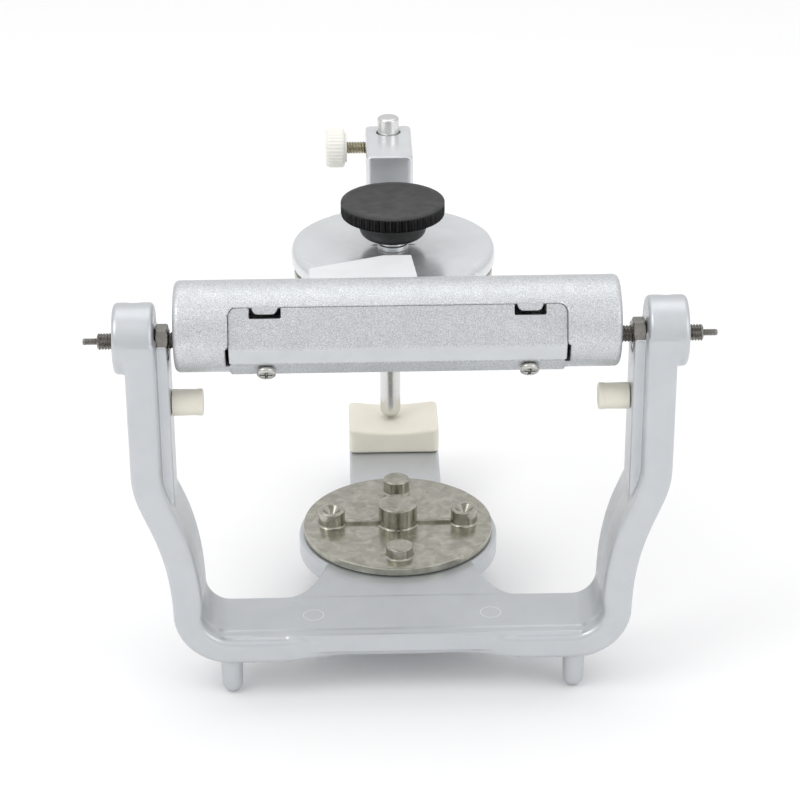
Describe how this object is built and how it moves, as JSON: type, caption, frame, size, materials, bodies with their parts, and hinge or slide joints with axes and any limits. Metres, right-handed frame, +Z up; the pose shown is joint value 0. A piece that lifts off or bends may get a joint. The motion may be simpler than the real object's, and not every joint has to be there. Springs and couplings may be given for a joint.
{
  "type": "dental articulator",
  "caption": "Metal jaw simulator: a footed U-shaped base carries a hinged upper arm in a tubular condylar housing, with mounting plates, an incisal pin and a table.",
  "frame": {"origin": "middle of the bounding box, at the height of the table top that the three feet stand on", "axes": "+X along the hinge axis to the right as seen from the cover side, +Y from the hinge towards the incisal pin, +Z up"},
  "size_m": [0.173, 0.1408, 0.1309],
  "materials": {
    "frame_silver": "smooth satin silver",
    "housing_silver": "fine bead-blasted silver",
    "plate_nickel": "scratched dull nickel",
    "screw_steel": "plated machine screw",
    "spring_steel": "bright wire",
    "pin_chrome": "polished",
    "black_plastic": "matt moulded",
    "cream_plastic": "smooth moulded cream",
    "insert_plastic": "machined bearing plastic",
    "white_plastic": "smooth white",
    "brass": "machined"
  },
  "bodies": {
    "lower_body": {"lower_frame": "frame_silver", "stop_peg_left": "cream_plastic", "stop_peg_right": "cream_plastic", "spindle_left": "screw_steel", "spindle_right": "screw_steel", "retaining_clip_left": "spring_steel", "retaining_clip_right": "spring_steel", "lock_nut_left": "screw_steel", "lock_nut_right": "screw_steel", "set_screw_left": "screw_steel", "set_screw_right": "screw_steel", "lower_mounting_plate": "plate_nickel", "incisal_table": "cream_plastic", "incisal_table_screw": "screw_steel"},
    "lower_clamp": {"lower_clamp_knob": "black_plastic", "lower_clamp_screw": "screw_steel"},
    "left_condyle": {"condylar_block_left": "brass"},
    "right_condyle": {"condylar_block_right": "brass"},
    "upper_body": {"upper_frame": "housing_silver", "condylar_insert_left": "insert_plastic", "condylar_insert_right": "insert_plastic", "return_spring_left": "spring_steel", "return_spring_right": "spring_steel", "housing_cover": "housing_silver", "cover_screw_left": "screw_steel", "cover_screw_right": "screw_steel", "upper_mounting_plate": "plate_nickel", "clamp_washer": "pin_chrome"},
    "upper_clamp": {"upper_clamp_knob": "black_plastic", "upper_clamp_screw": "screw_steel"},
    "pin": {"incisal_pin": "pin_chrome"},
    "thumb": {"thumb_screw_head": "white_plastic", "thumb_screw_stud": "screw_steel"}
  },
  "joints": [
    {"name": "upper_opening", "type": "hinge", "parent": "lower_body", "child": "left_condyle", "pos_m": [0, -0.0606, 0.1095], "axis": [1, 0, 0], "range_deg": [0, 100]},
    {"name": "condylar_slide", "type": "slide", "parent": "left_condyle", "child": "upper_body", "axis": [0, -0.866, 0.5], "range_m": [0, 0.004], "stiffness_N_per_m": 500, "springref_m": -0.002, "deforming": ["return_spring_left", "return_spring_right"]},
    {"name": "right_block_turn", "type": "hinge", "parent": "lower_body", "child": "right_condyle", "pos_m": [0, -0.0606, 0.1095], "axis": [1, 0, 0], "range_deg": [0, 100]},
    {"name": "incisal_pin_slide", "type": "slide", "parent": "upper_body", "child": "pin", "axis": [0, 0, 1], "range_m": [0, 0.03]},
    {"name": "thumb_screw_turn", "type": "hinge", "parent": "upper_body", "child": "thumb", "pos_m": [-0.0171, 0.055, 0.1209], "axis": [1, 0, 0], "range_deg": [0, 720]},
    {"name": "upper_clamp_turn", "type": "hinge", "parent": "upper_body", "child": "upper_clamp", "pos_m": [-0.0009, -0.0073, 0.1231], "axis": [0, 0, 1], "continuous": true},
    {"name": "lower_clamp_turn", "type": "hinge", "parent": "lower_body", "child": "lower_clamp", "pos_m": [0, -0.0073, 0.009], "axis": [0, 0, -1], "continuous": true}
  ],
  "couplings": [
    {"joint": "right_block_turn", "follows": "upper_opening", "ratio": 1}
  ]
}
